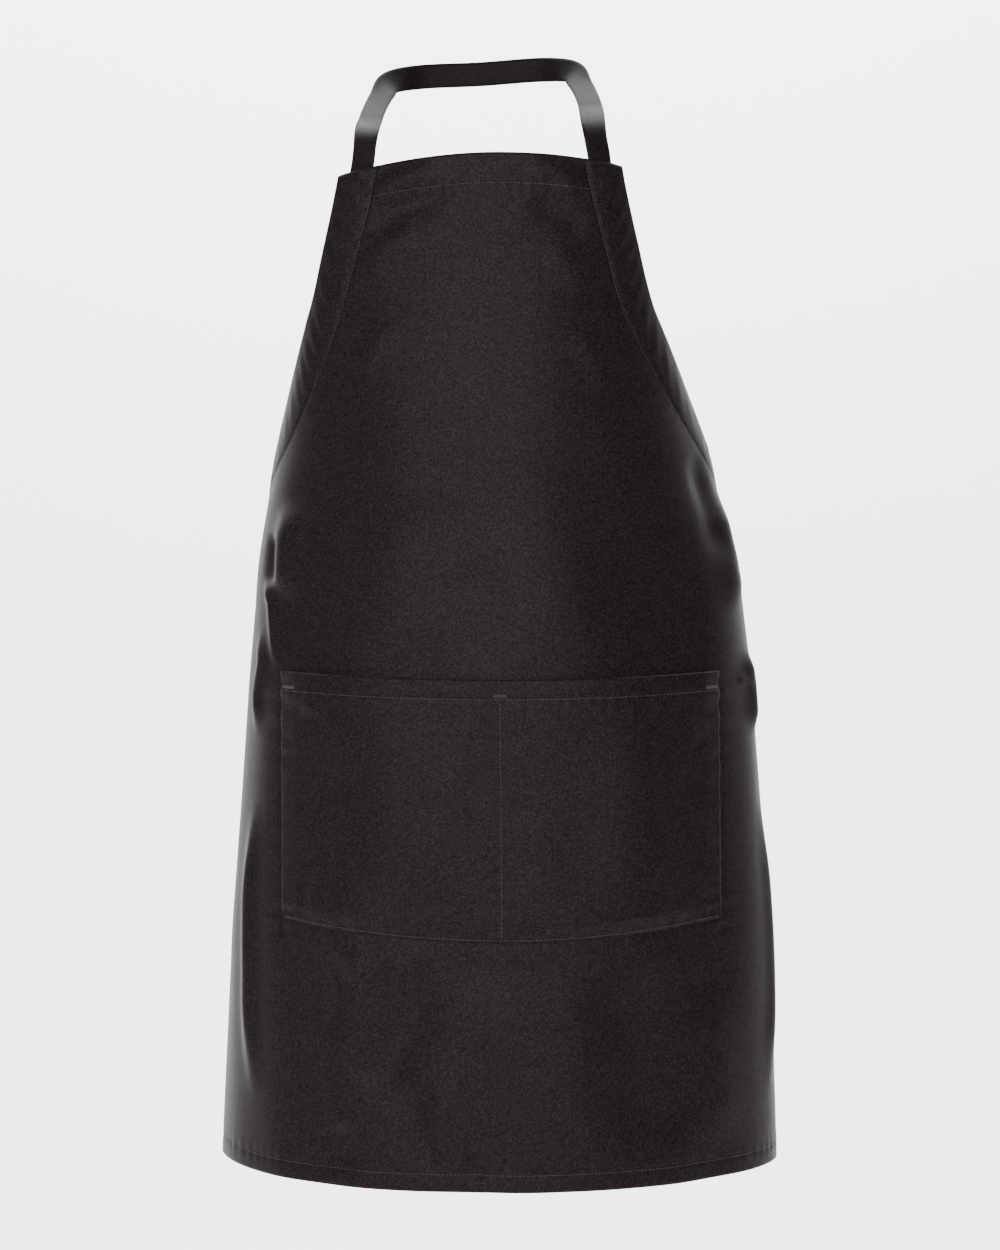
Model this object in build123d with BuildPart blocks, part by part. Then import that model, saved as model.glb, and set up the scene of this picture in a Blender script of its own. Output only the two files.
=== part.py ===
"""Bib apron in thin satin-faced cloth, shown in its worn shape.

One cut of cloth wraps round the front of a torso.  A flat strap runs up through a casing along each
armhole, makes the neck loop, and leaves the lower ends of both casings to tie in a bow at the back.
A patch pocket with a sewn divider sits on the front.

Frame, in millimetres: +Z is up, the front faces -Y, and the origin is the inside face of the neck loop
at the nape.  "left" is the -X side, as seen from the front.  Offsets are counted outwards from the
main panel's outer face.
"""

import os
from math import cos, hypot, radians, sin

from build123d import *

# ---------------------------------------------------------------- cloth and thread
CLOTH = 1.0  # thickness of one layer
SEWN_GAP = 0.1  # between two layers that are sewn together
THREAD_WIDTH = 0.9
THREAD_HEIGHT = 0.4
STITCH_INSET = 1.5  # from a turned edge to its line of stitches
ROW_END = 1.0  # a row stops this far from the edge that it runs up to

# ---------------------------------------------------------------- the worn shape of the cloth
AXIS_Y = -45.0  # the torso's axis lies in front of the nape
# height, half width and half depth of the cloth's outer face
STATIONS = [
    (-40.0, 152.0, 112.0),
    (-190.0, 152.0, 112.0),
    (-270.0, 160.0, 118.0),
    (-390.0, 185.5, 132.0),
    (-475.0, 194.5, 138.5),
    (-670.0, 209.0, 140.5),
    (-890.0, 214.5, 146.0),
]

# ---------------------------------------------------------------- main panel
BODY_LENGTH = 762.0  # bib top to bottom hem, down the middle
BIB_TOP = -86.0  # top edge of the bib in the middle
BIB_CROWN = 10.0  # the bib's top edge is this much lower at its sides
BIB_HALF = 110.0  # half width over which the top edge falls by the crown
CORNER_DROP = 250.0  # bib top to the armhole's lower corner
CORNER_ANGLE = 117.0  # round the cloth from the middle of the front
CORNER_BEHIND = 58.0  # the armhole's corner lies this far behind the torso's axis
HEM_BEHIND = 32.0  # and the side edge this far behind it at the bottom
HEM_RISE = 0.012  # the bottom edge rises this much per millimetre towards the back
# armhole edge: angle round the cloth, and drop below the bib's top
ARMHOLE = [(41.5, -30.0), (44.5, 11.0), (51.0, 64.0), (60.5, 122.0), (78.0, 180.0)]
ARMHOLE_VIEW = 72.0  # the armhole's cutting tools run along this direction
ARMHOLE_MITER = 0.414  # shift of the lower corner per millimetre of inset

# ---------------------------------------------------------------- hems
BIB_HEM = 24.0
BOTTOM_HEM = 14.0
SIDE_HEM = 10.0

# ---------------------------------------------------------------- strap and its casings
STRAP_WIDTH = 19.0
STRAP_THICK = 1.2
STRAP_PLAY = 0.9  # between the strap and each wall of its casing
STRAP_INSET = 10.0  # armhole edge to the strap inside the casing
CASING_SPARE = 4.0  # from the strap to the casing's other edge
CASING_WIDTH = STRAP_INSET + STRAP_WIDTH + CASING_SPARE
CASING_WALL = 1.2  # the fold at the edge, and the sewn edge beside the channel
LEG_DEPTH = 47.0  # bib top to the lower end of the sliding leg
SLIDE_DOWN = 6.0  # travel of the legs into their casings
SLIDE_SPARE = 1.0  # left between leg and casing strap at the end of that travel
PIVOT_GAP = 0.3
NECK_PIVOT_RISE = 12.0  # bib top up to the axis on which the neck loop tilts
NECK_PIVOT_TRIM = 0.5  # the round end at that axis has this much less than half the strap as radius
NECK_PIVOT_RADIUS = STRAP_WIDTH / 2 - NECK_PIVOT_TRIM
TIE_PIVOT_BEHIND = 13.0  # casing's lower mouth to the axis on which the waist tie tilts

# ---------------------------------------------------------------- neck loop
NAPE_HALF = 46.0  # half width of the stretch that lies flat behind the neck
NECK_BEND = (66.0, -16.0, -4.0)  # the strap turns forward here
NECK_SIDE = (77.0, -46.0, -21.0)
NECK_SHOULDER = (83.0, -88.0, -44.0)
NECK_UPRIGHT = 9.0  # the strap stands straight for this much above its pivot
NECK_LEAN = 0.9  # how far it leans back from there, against its rise
NECK_TURN_START = 0.3  # share of the way to the pivot at which the strap starts to twist
NECK_TURN_LENGTH = 0.55  # and the share over which it twists
NECK_SECTIONS = 10

# ---------------------------------------------------------------- pocket
POCKET_HALF = 164.0
POCKET_DROP = 389.0  # bib top to the middle of the pocket's mouth
POCKET_HEIGHT = 192.0
MOUTH_SAG = 6.0  # the mouth's corners stand this much higher than its middle
BOTTOM_SAG = 14.0
POCKET_ROOM = 10.0  # between panel and pocket
POCKET_WALL = 1.5  # thickness of a turned edge and of the divider
MOUTH_HEM = 16.0
SIDE_ROW = 0.3  # pocket's side edge to its stitches
BARTACK_WIDTH = 10.0
BARTACK_HEIGHT = 2.4

# ---------------------------------------------------------------- bow at the back
KNOT_SPARE = 1.5  # the knot stands out past the strap's edges by this much
KNOT_RADIUS = STRAP_WIDTH / 2 + KNOT_SPARE
KNOT_DEPTH = 18.5
KNOT_ROUND = 2.5
KNOT_AHEAD = 2.5  # the knot starts this far in front of the strap's middle
STACK_STEP = 2.6  # one layer of the bow to the next
BOW_LENGTH = 78.0
BOW_BULGE = 9.0
BOW_ROOT = 3.2
BOW_DROOP = 8.0  # degrees below level
TAIL_LENGTH = 235.0
TAIL_LEAN = 7.0  # degrees off plumb
TAIL_POINT = 9.0  # slant of the cut end

# ---------------------------------------------------------------- label
LABEL_WIDTH = 32.0
LABEL_HEIGHT = 44.0
LABEL_THICK = 0.5
LABEL_DROP = 4.0  # below the bib's top hem

# ---------------------------------------------------------------- values that follow
ROOM = 400.0  # reach of a cutting tool, larger than any half size here
PAST_EDGE = 1.0  # a cutting tool runs past an edge by this much
BELOW_HEM = 42.0  # the sleeve that the cloth is cut from runs on this far below the bottom edge
BODY_BOTTOM = BIB_TOP - BODY_LENGTH
UNDER = BODY_BOTTOM - ROOM  # lower than everything here
CORNER_Z = BIB_TOP - CORNER_DROP
CHANNEL = STRAP_THICK + 2 * STRAP_PLAY
STRAP_OUTER = -CLOTH - STRAP_PLAY  # offsets of the strap's two faces
STRAP_INNER = STRAP_OUTER - STRAP_THICK
STRAP_MIDDLE = (STRAP_OUTER + STRAP_INNER) / 2
TURNED_OUTER = -CLOTH - SEWN_GAP  # offsets of a hem turned in behind the panel
TURNED_INNER = TURNED_OUTER - CLOTH
POCKET_TOP = BIB_TOP - POCKET_DROP
POCKET_BOTTOM = POCKET_TOP - POCKET_HEIGHT
POCKET_FACE = POCKET_ROOM + CLOTH
TIE_Z = CORNER_Z - STRAP_INSET - STRAP_WIDTH / 2
TIE_PIVOT_Y = AXIS_Y + CORNER_BEHIND + TIE_PIVOT_BEHIND
NECK_PIVOT_Z = BIB_TOP + NECK_PIVOT_RISE
SIDES = {"left": -1, "right": 1}

os.makedirs("parts", exist_ok=True)


def save(piece, name):
    """Labels a finished piece and writes it as the node of that name."""
    piece.part.label = name
    export_step(piece.part, f"parts/{name}.step")
    print(name, len(piece.part.solids()), round(piece.part.volume))


# ---------------------------------------------------------------- layers of cloth
def half_size(height):
    """Half width and half depth of the cloth's outer face at a height."""
    for (top, width_1, depth_1), (bottom, width_2, depth_2) in zip(STATIONS, STATIONS[1:]):
        if height >= bottom:
            break
    share = (top - height) / (top - bottom)
    return width_1 + share * (width_2 - width_1), depth_1 + share * (depth_2 - depth_1)


def on_cloth(angle, height, offset=0.0):
    """Point of the right half at an angle round from the middle of the front."""
    half_width, half_depth = half_size(height)
    turn = radians(angle)
    return (half_width + offset) * sin(turn), AXIS_Y - (half_depth + offset) * cos(turn)


def per_degree(angle, height):
    """Length along the cloth of one degree round."""
    half_width, half_depth = half_size(height)
    turn = radians(angle)
    return radians(hypot(half_width * cos(turn), half_depth * sin(turn)))


def sleeve(offset):
    """The space inside the cloth's outer face, grown by offset, to below the bottom edge."""
    heights = [height for height, _, _ in STATIONS if height > BODY_BOTTOM]
    with BuildPart() as inside:
        for height in [*heights, BODY_BOTTOM - BELOW_HEM]:
            half_width, half_depth = half_size(height)
            with BuildSketch(Plane.XY.offset(height)):
                with Locations((0, AXIS_Y)):
                    Ellipse(half_width + offset, half_depth + offset)
        loft(ruled=True)
    return inside.part


def layer(inner, outer):
    """A closed sleeve of cloth between two offsets."""
    with BuildPart() as shell:
        add(sleeve(outer))
        add(sleeve(inner), mode=Mode.SUBTRACT)
    return shell.part


def cut_out(inner, outer, keep, drop=()):
    """A layer of cloth, kept inside every tool in keep and outside every tool in drop."""
    with BuildPart() as piece:
        add(layer(inner, outer))
        for tool in keep:
            add(tool, mode=Mode.INTERSECT)
        for tool in drop:
            add(tool, mode=Mode.SUBTRACT)
    return piece.part


# ---------------------------------------------------------------- outlines, as cutting tools
def block(x_range, y_range, z_range):
    """A plain box between limits."""
    middle = [(low + high) / 2 for low, high in (x_range, y_range, z_range)]
    size = [high - low for low, high in (x_range, y_range, z_range)]
    with BuildPart() as box:
        with Locations(tuple(middle)):
            Box(*size)
    return box.part


def rod(y, z, radius):
    """A cylinder along X, for pieces that turn on each other."""
    with BuildPart() as bar:
        with BuildSketch(Plane.YZ):
            with Locations((y, z)):
                Circle(radius)
        extrude(amount=ROOM, both=True)
    return bar.part


def side_edge_y(height, inset=0.0):
    """Where the skirt's side edge stands at a height, seen from the side."""
    share = (CORNER_Z - height) / (CORNER_Z - BODY_BOTTOM)
    return AXIS_Y + CORNER_BEHIND + share * (HEM_BEHIND - CORNER_BEHIND) - inset


def hem_z(y, inset=0.0):
    """Height of the bottom edge at a depth, seen from the side."""
    front = AXIS_Y - half_size(BODY_BOTTOM)[1]
    return BODY_BOTTOM + HEM_RISE * (y - front) + inset


def side_outline(side_inset=0.0, hem_inset=0.0):
    """Everything in front of the side edge and above the bottom edge."""
    side_slope = side_edge_y(1.0) - side_edge_y(0.0)
    corner_y = side_edge_y(hem_z(0.0, hem_inset), side_inset) / (1 - side_slope * HEM_RISE)
    with BuildPart() as outline:
        with BuildSketch(Plane.YZ):
            with BuildLine():
                Polyline(
                    (-ROOM, hem_z(-ROOM, hem_inset)),
                    (corner_y, hem_z(corner_y, hem_inset)),
                    (side_edge_y(0.0, side_inset), 0.0),
                    (-ROOM, 0.0),
                    close=True,
                )
            make_face()
        extrude(amount=ROOM, both=True)
    return outline.part


def crowned(half, middle, rise, floor):
    """Everything in front of the axis, between a floor and an arched top edge."""
    with BuildPart() as outline:
        with BuildSketch(Plane.XZ.offset(-AXIS_Y - CORNER_BEHIND)):
            with BuildLine():
                ThreePointArc((-half, middle - rise), (0, middle), (half, middle - rise))
                Polyline(
                    (half, middle - rise),
                    (ROOM, middle - rise),
                    (ROOM, floor),
                    (-ROOM, floor),
                    (-ROOM, middle - rise),
                    (-half, middle - rise),
                )
            make_face()
        extrude(amount=ROOM)
    return outline.part


def top_outline(inset=0.0):
    """Everything below the bib's crowned top edge."""
    return crowned(BIB_HALF, BIB_TOP - inset, BIB_CROWN, UNDER)


def armhole_point(index, inset):
    """One point of the armhole's edge, moved over the cloth by inset."""
    angle, drop = ARMHOLE[index]
    before = ARMHOLE[max(index - 1, 0)]
    after = ([*ARMHOLE, (CORNER_ANGLE, CORNER_DROP)])[index + 1]
    scale = per_degree(angle, BIB_TOP - drop)
    along = (after[0] - before[0]) * scale
    down = after[1] - before[1]
    length = hypot(along, down)
    return angle - inset * down / length / scale, BIB_TOP - drop - inset * along / length


def armhole(side, inset=0.0):
    """The room left free by one armhole, grown over the cloth by inset."""
    view = radians(ARMHOLE_VIEW)
    plane = Plane(
        origin=(0, AXIS_Y, 0),
        x_dir=(side * cos(view), sin(view), 0),
        z_dir=(side * sin(view), -cos(view), 0),
    )

    def seen(angle, height):
        x, y = on_cloth(angle, height)
        return x * cos(view) + (y - AXIS_Y) * sin(view), side * height

    edge = [seen(*armhole_point(index, inset)) for index in range(len(ARMHOLE))]
    miter = inset * ARMHOLE_MITER / per_degree(CORNER_ANGLE, CORNER_Z)
    corner = seen(CORNER_ANGLE - miter, CORNER_Z - inset)
    with BuildPart() as room:
        with BuildSketch(plane):
            with BuildLine():
                Spline(*edge, corner)
                Polyline(
                    corner,
                    (ROOM, side * (CORNER_Z - inset)),
                    (ROOM, edge[0][1]),
                    edge[0],
                )
            make_face()
        extrude(amount=ROOM)
    return room.part


def armhole_band(side, near, far):
    """The strip beside one armhole between two distances from its edge."""
    with BuildPart() as band:
        add(armhole(side, far))
        add(armhole(side, near), mode=Mode.SUBTRACT)
    return band.part


def strap_centre(height):
    """Angle round the cloth of the right strap's middle line near the bib's top."""
    (angle_1, z_1), (angle_2, z_2) = (
        armhole_point(index, STRAP_INSET + STRAP_WIDTH / 2) for index in (0, 1)
    )
    return angle_1 + (height - z_1) / (z_2 - z_1) * (angle_2 - angle_1)


def half_space(side):
    """Everything on one side of the middle."""
    return block(sorted((0, side * ROOM)), (-ROOM, ROOM), (UNDER, ROOM))


ARMHOLES = [armhole(-1), armhole(1)]
PANEL = side_outline()
BIB = top_outline()

# ---------------------------------------------------------------- the main panel
with BuildPart() as body_panel:
    add(cut_out(-CLOTH, 0, [PANEL, BIB], ARMHOLES))
save(body_panel, "body_panel")

# ---------------------------------------------------------------- hems, turned in behind the panel
beside_casings = [armhole(side, CASING_WIDTH + SEWN_GAP) for side in (-1, 1)]

with BuildPart() as bib_top_hem:
    add(cut_out(TURNED_INNER, TURNED_OUTER, [BIB], [top_outline(BIB_HEM), *beside_casings]))
save(bib_top_hem, "bib_top_hem")

with BuildPart() as bottom_hem:
    add(cut_out(TURNED_INNER, TURNED_OUTER, [PANEL], [side_outline(0, BOTTOM_HEM)]))
save(bottom_hem, "bottom_hem")

side_strip = [side_outline(0, BOTTOM_HEM + SEWN_GAP), BIB]
for name, side in SIDES.items():
    with BuildPart() as side_hem:
        add(
            cut_out(
                TURNED_INNER,
                TURNED_OUTER,
                [*side_strip, half_space(side)],
                [side_outline(SIDE_HEM), *beside_casings],
            )
        )
    save(side_hem, f"{name}_side_hem")

# ---------------------------------------------------------------- casings and the strap inside them
FACING_OUTER = -CLOTH - CHANNEL
fixed_top = BIB_TOP - LEG_DEPTH - SLIDE_DOWN - SLIDE_SPARE
fixed_below = block((-ROOM, ROOM), (-ROOM, TIE_PIVOT_Y), (UNDER, fixed_top))
leg_zone = block((-ROOM, ROOM), (-ROOM, AXIS_Y), (BIB_TOP - LEG_DEPTH, NECK_PIVOT_Z))
neck_y = on_cloth(strap_centre(NECK_PIVOT_Z), NECK_PIVOT_Z, STRAP_MIDDLE)[1]
for name, side in SIDES.items():
    with BuildPart() as casing:
        add(
            cut_out(
                FACING_OUTER - CLOTH,
                FACING_OUTER,
                [armhole_band(side, 0, CASING_WIDTH), PANEL, BIB],
            )
        )
        for near in (0, CASING_WIDTH - CASING_WALL):
            add(
                cut_out(
                    FACING_OUTER - CLOTH,
                    TURNED_OUTER,
                    [armhole_band(side, near, near + CASING_WALL), PANEL, BIB],
                )
            )
    save(casing, f"{name}_casing")

    strap_run = armhole_band(side, STRAP_INSET, STRAP_INSET + STRAP_WIDTH)
    with BuildPart() as casing_strap:
        add(
            cut_out(
                STRAP_INNER,
                STRAP_OUTER,
                [strap_run, fixed_below],
                [rod(TIE_PIVOT_Y, TIE_Z, STRAP_WIDTH / 2 + PIVOT_GAP)],
            )
        )
    save(casing_strap, f"{name}_casing_strap")

    with BuildPart() as strap_leg:
        add(
            cut_out(
                STRAP_INNER,
                STRAP_OUTER,
                [strap_run, leg_zone],
                [rod(neck_y, NECK_PIVOT_Z, NECK_PIVOT_RADIUS + PIVOT_GAP)],
            )
        )
    save(strap_leg, f"{name}_strap_leg")

# ---------------------------------------------------------------- neck loop
pivot_angle = strap_centre(NECK_PIVOT_Z)
below_angle = strap_centre(NECK_PIVOT_Z - 2 * NECK_PIVOT_RADIUS)
pivot = Vector(*on_cloth(pivot_angle, NECK_PIVOT_Z, STRAP_MIDDLE), NECK_PIVOT_Z)
below = Vector(
    *on_cloth(below_angle, NECK_PIVOT_Z - 2 * NECK_PIVOT_RADIUS, STRAP_MIDDLE),
    NECK_PIVOT_Z - 2 * NECK_PIVOT_RADIUS,
)
leg_direction = (pivot - below).normalized()
ahead = Vector(*on_cloth(pivot_angle + 1, NECK_PIVOT_Z, STRAP_MIDDLE), NECK_PIVOT_Z)
width_at_pivot = (ahead - pivot).normalized()
width_at_nape = Vector(0, 0, 1)

with BuildLine(mode=Mode.PRIVATE) as neck_path:
    Spline(
        (0, STRAP_THICK / 2, 0),
        (NAPE_HALF, -3, 0),
        NECK_BEND,
        NECK_SIDE,
        NECK_SHOULDER,
        pivot + leg_direction * NECK_UPRIGHT,
        tangents=[(1, 0, 0), -(leg_direction + Vector(0, NECK_LEAN, 0)).normalized()],
    )
neck_line = neck_path.line.edges()[0]


def neck_section(share):
    """Plane across the strap at a share of the way from the nape to the pivot."""
    turned = min(max((share - NECK_TURN_START) / NECK_TURN_LENGTH, 0), 1)
    turned = turned * turned * (3 - 2 * turned)
    width = width_at_nape * (1 - turned) + width_at_pivot * turned
    along = neck_line % share
    across = (width - along * width.dot(along)).normalized()
    return Plane(origin=neck_line @ share, x_dir=across, z_dir=along)


with BuildPart() as neck_loop:
    for step in range(NECK_SECTIONS + 1):
        with BuildSketch(neck_section(step / NECK_SECTIONS)):
            Rectangle(STRAP_WIDTH, STRAP_THICK)
    for end in (pivot, below):
        with BuildSketch(Plane(origin=end, x_dir=width_at_pivot, z_dir=-leg_direction)):
            Rectangle(STRAP_WIDTH, STRAP_THICK)
    loft()
    with BuildPart(mode=Mode.PRIVATE) as past_pivot:
        add(block((-ROOM, ROOM), (-ROOM, AXIS_Y), (-ROOM, NECK_PIVOT_Z)))
        add(rod(neck_y, NECK_PIVOT_Z, NECK_PIVOT_RADIUS), mode=Mode.SUBTRACT)
    add(past_pivot.part, mode=Mode.SUBTRACT)
    mirror(about=Plane.YZ)
save(neck_loop, "neck_loop")


# ---------------------------------------------------------------- pocket
def pocket_outline(side_inset=0.0, mouth_inset=0.0, bottom_inset=0.0):
    """Everything inside the pocket's outline, seen from the front."""
    half = POCKET_HALF - side_inset
    top = POCKET_TOP - mouth_inset
    bottom = POCKET_BOTTOM + bottom_inset
    with BuildPart() as outline:
        with BuildSketch(Plane.XZ.offset(-AXIS_Y)):
            with BuildLine():
                ThreePointArc((-half, top + MOUTH_SAG), (0, top), (half, top + MOUTH_SAG))
                Line((half, top + MOUTH_SAG), (half, bottom + BOTTOM_SAG))
                ThreePointArc((half, bottom + BOTTOM_SAG), (0, bottom), (-half, bottom + BOTTOM_SAG))
                Line((-half, bottom + BOTTOM_SAG), (-half, top + MOUTH_SAG))
            make_face()
        extrude(amount=ROOM)
    return outline.part


def front_block(x_range, z_range):
    """A column towards the front, between limits."""
    return block(x_range, (-ROOM, AXIS_Y), z_range)


POCKET = pocket_outline()
below_mouth_hem = pocket_outline(-PAST_EDGE, MOUTH_HEM, -PAST_EDGE)
divider_zone = front_block((-POCKET_WALL / 2, POCKET_WALL / 2), (UNDER, 0))

with BuildPart() as pocket_panel:
    add(cut_out(POCKET_ROOM, POCKET_FACE, [POCKET]))
    below_hem = pocket_outline(0, MOUTH_HEM + SEWN_GAP, POCKET_WALL + SEWN_GAP)
    add(cut_out(SEWN_GAP, POCKET_ROOM, [below_hem, divider_zone]))
save(pocket_panel, "pocket_panel")

with BuildPart() as pocket_mouth_hem:
    inside_folds = pocket_outline(POCKET_WALL + SEWN_GAP)
    add(
        cut_out(
            POCKET_ROOM - SEWN_GAP - CLOTH,
            POCKET_ROOM - SEWN_GAP,
            [inside_folds],
            [below_mouth_hem],
        )
    )
save(pocket_mouth_hem, "pocket_mouth_hem")

with BuildPart() as pocket_bottom_fold:
    add(
        cut_out(
            SEWN_GAP,
            POCKET_ROOM - SEWN_GAP,
            [pocket_outline(POCKET_WALL + SEWN_GAP)],
            [pocket_outline(0, -MOUTH_HEM, POCKET_WALL)],
        )
    )
save(pocket_bottom_fold, "pocket_bottom_fold")

for name, side in SIDES.items():
    with BuildPart() as pocket_fold:
        add(
            cut_out(
                SEWN_GAP,
                POCKET_ROOM - SEWN_GAP,
                [POCKET, half_space(side)],
                [pocket_outline(POCKET_WALL, -MOUTH_HEM, -MOUTH_HEM)],
            )
        )
    save(pocket_fold, f"pocket_{name}_fold")


# ---------------------------------------------------------------- rows of stitches
def thread_row(base, outer_tool, inner_tool, keep=(), drop=()):
    """A row of stitches on the face at base, between two outlines a thread's width apart."""
    bottom = base + SEWN_GAP
    return cut_out(bottom, bottom + THREAD_HEIGHT, [outer_tool, *keep], [inner_tool, *drop])


casings_wide = [armhole(side, CASING_WIDTH + THREAD_WIDTH) for side in (-1, 1)]
hem_row = BIB_HEM - STITCH_INSET
with BuildPart() as bib_hem_thread:
    add(
        thread_row(
            0,
            top_outline(hem_row),
            top_outline(hem_row + THREAD_WIDTH),
            [front_block((-ROOM, ROOM), (CORNER_Z, 0))],
            casings_wide,
        )
    )
save(bib_hem_thread, "bib_hem_thread")

hem_row = BOTTOM_HEM - STITCH_INSET
with BuildPart() as bottom_hem_thread:
    row_outer = side_outline(ROW_END, hem_row - THREAD_WIDTH)
    add(thread_row(0, row_outer, side_outline(ROW_END, hem_row)))
save(bottom_hem_thread, "bottom_hem_thread")

side_row = SIDE_HEM - STITCH_INSET
casing_row = CASING_WIDTH - STITCH_INSET
for name, side in SIDES.items():
    with BuildPart() as side_thread:
        add(
            thread_row(
                0,
                side_outline(side_row - THREAD_WIDTH, BOTTOM_HEM),
                side_outline(side_row, 0),
                [half_space(side), BIB],
                beside_casings,
            )
        )
    save(side_thread, f"{name}_side_hem_thread")

    with BuildPart() as casing_thread:
        row = armhole_band(side, casing_row - THREAD_WIDTH, casing_row)
        add(cut_out(SEWN_GAP, SEWN_GAP + THREAD_HEIGHT, [row, PANEL, BIB]))
    save(casing_thread, f"{name}_casing_thread")

mouth_row = MOUTH_HEM - STITCH_INSET
with BuildPart() as pocket_mouth_thread:
    row_top = pocket_outline(2 * THREAD_WIDTH, mouth_row)
    add(thread_row(POCKET_FACE, row_top, pocket_outline(0, mouth_row + THREAD_WIDTH)))
save(pocket_mouth_thread, "pocket_mouth_thread")

edge_row = STITCH_INSET
with BuildPart() as pocket_bottom_thread:
    row_outer = pocket_outline(edge_row + THREAD_WIDTH, POCKET_HEIGHT / 2, edge_row)
    row_inner = pocket_outline(0, 0, edge_row + THREAD_WIDTH)
    add(thread_row(POCKET_FACE, row_outer, row_inner))
save(pocket_bottom_thread, "pocket_bottom_thread")

for name, side in SIDES.items():
    with BuildPart() as pocket_side_thread:
        row_outer = pocket_outline(SIDE_ROW, mouth_row + 2 * THREAD_WIDTH, edge_row + 2 * THREAD_WIDTH)
        row_inner = pocket_outline(SIDE_ROW + THREAD_WIDTH, -PAST_EDGE, -PAST_EDGE)
        add(thread_row(POCKET_FACE, row_outer, row_inner, [half_space(side)]))
    save(pocket_side_thread, f"pocket_{name}_thread")

with BuildPart() as pocket_divider_thread:
    row = front_block((-THREAD_WIDTH / 2, THREAD_WIDTH / 2), (UNDER, 0))
    length = pocket_outline(0, mouth_row + 3 * THREAD_WIDTH, edge_row + 2 * THREAD_WIDTH)
    add(cut_out(POCKET_FACE + SEWN_GAP, POCKET_FACE + SEWN_GAP + THREAD_HEIGHT, [row, length]))
save(pocket_divider_thread, "pocket_divider_thread")

with BuildPart() as pocket_bartacks:
    corner_x = POCKET_HALF - BARTACK_WIDTH / 2 - 2 * THREAD_WIDTH
    tack_z = POCKET_TOP - mouth_row + 2 * THREAD_WIDTH
    for x, rise in ((-corner_x, MOUTH_SAG), (0, 0), (corner_x, MOUTH_SAG)):
        span = (x - BARTACK_WIDTH / 2, x + BARTACK_WIDTH / 2)
        tack = front_block(span, (tack_z + rise, tack_z + rise + BARTACK_HEIGHT))
        add(cut_out(POCKET_FACE + SEWN_GAP, POCKET_FACE + SEWN_GAP + 2 * THREAD_HEIGHT, [tack]))
save(pocket_bartacks, "pocket_bartacks")

# ---------------------------------------------------------------- label inside the bib
label_top = BIB_TOP - BIB_HEM - LABEL_DROP


def label_zone(inset):
    """The label's outline, drawn in by inset."""
    half = LABEL_WIDTH / 2 - inset
    return front_block((-half, half), (label_top - LABEL_HEIGHT + inset, label_top - inset))


with BuildPart() as care_label:
    add(cut_out(TURNED_OUTER - LABEL_THICK, TURNED_OUTER, [label_zone(0)]))
save(care_label, "care_label")

with BuildPart() as care_label_thread:
    thread_face = TURNED_OUTER - LABEL_THICK - SEWN_GAP
    frame = label_zone(STITCH_INSET)
    inside_frame = label_zone(STITCH_INSET + THREAD_WIDTH)
    add(cut_out(thread_face - THREAD_HEIGHT, thread_face, [frame], [inside_frame]))
save(care_label_thread, "care_label_thread")

# ---------------------------------------------------------------- waist tie, tied behind
knot_y = on_cloth(180, TIE_Z, STRAP_MIDDLE)[1]
tie_height = (TIE_Z - STRAP_WIDTH / 2, TIE_Z + STRAP_WIDTH / 2)
for name, side in SIDES.items():
    with BuildPart() as tie_zone:
        add(block((-ROOM, ROOM), (TIE_PIVOT_Y, ROOM), tie_height))
        add(rod(TIE_PIVOT_Y, TIE_Z, STRAP_WIDTH / 2))
        add(half_space(-side), mode=Mode.SUBTRACT)
        add(block((-KNOT_RADIUS, KNOT_RADIUS), (-ROOM, ROOM), (UNDER, 0)), mode=Mode.SUBTRACT)
        add(front_block((-ROOM, ROOM), (UNDER, 0)), mode=Mode.SUBTRACT)
    with BuildPart() as waist_tie:
        add(cut_out(STRAP_INNER, STRAP_OUTER, [tie_zone.part]))
    save(waist_tie, f"{name}_waist_tie")

knot_front = knot_y - KNOT_AHEAD
with BuildPart() as tie_knot:
    with BuildSketch(Plane.XZ.offset(-knot_front)):
        with Locations((0, TIE_Z)):
            Circle(KNOT_RADIUS - PIVOT_GAP)
    extrude(amount=-KNOT_DEPTH)
    fillet(tie_knot.edges(), KNOT_ROUND)
save(tie_knot, "tie_knot")


def ring_zone():
    """The space round the knot that a swinging piece leaves free."""
    with BuildPart() as zone:
        with BuildSketch(Plane.XZ):
            with Locations((0, TIE_Z)):
                Circle(KNOT_RADIUS)
        extrude(amount=ROOM, both=True)
    return zone.part


# ---------------------------------------------------------------- tails of the bow
for step, (name, side) in enumerate(SIDES.items(), start=1):
    lean = radians(TAIL_LEAN)
    down = Vector(side * sin(lean), 0, -cos(lean))
    tail_y = knot_y + step * STACK_STEP
    with BuildPart() as tie_tail:
        with BuildSketch(Plane(origin=(0, tail_y, TIE_Z), x_dir=down, z_dir=(0, 1, 0))):
            with BuildLine():
                Polyline(
                    (0, -STRAP_WIDTH / 2),
                    (TAIL_LENGTH, -STRAP_WIDTH / 2),
                    (TAIL_LENGTH + TAIL_POINT, STRAP_WIDTH / 2),
                    (0, STRAP_WIDTH / 2),
                    close=True,
                )
            make_face()
        extrude(amount=STRAP_THICK / 2, both=True)
        add(ring_zone(), mode=Mode.SUBTRACT)
    save(tie_tail, f"{name}_tie_tail")


# ---------------------------------------------------------------- loops of the bow
def bow_outline(inset):
    """Outline of a flattened loop along the drawing's x axis, drawn in by inset."""
    with BuildSketch() as outline:
        Circle(BOW_ROOT / 2 - inset)
        with Locations((BOW_LENGTH - BOW_BULGE / 2, 0)):
            Circle(BOW_BULGE / 2 - inset)
        make_hull()
    return outline.sketch


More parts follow.
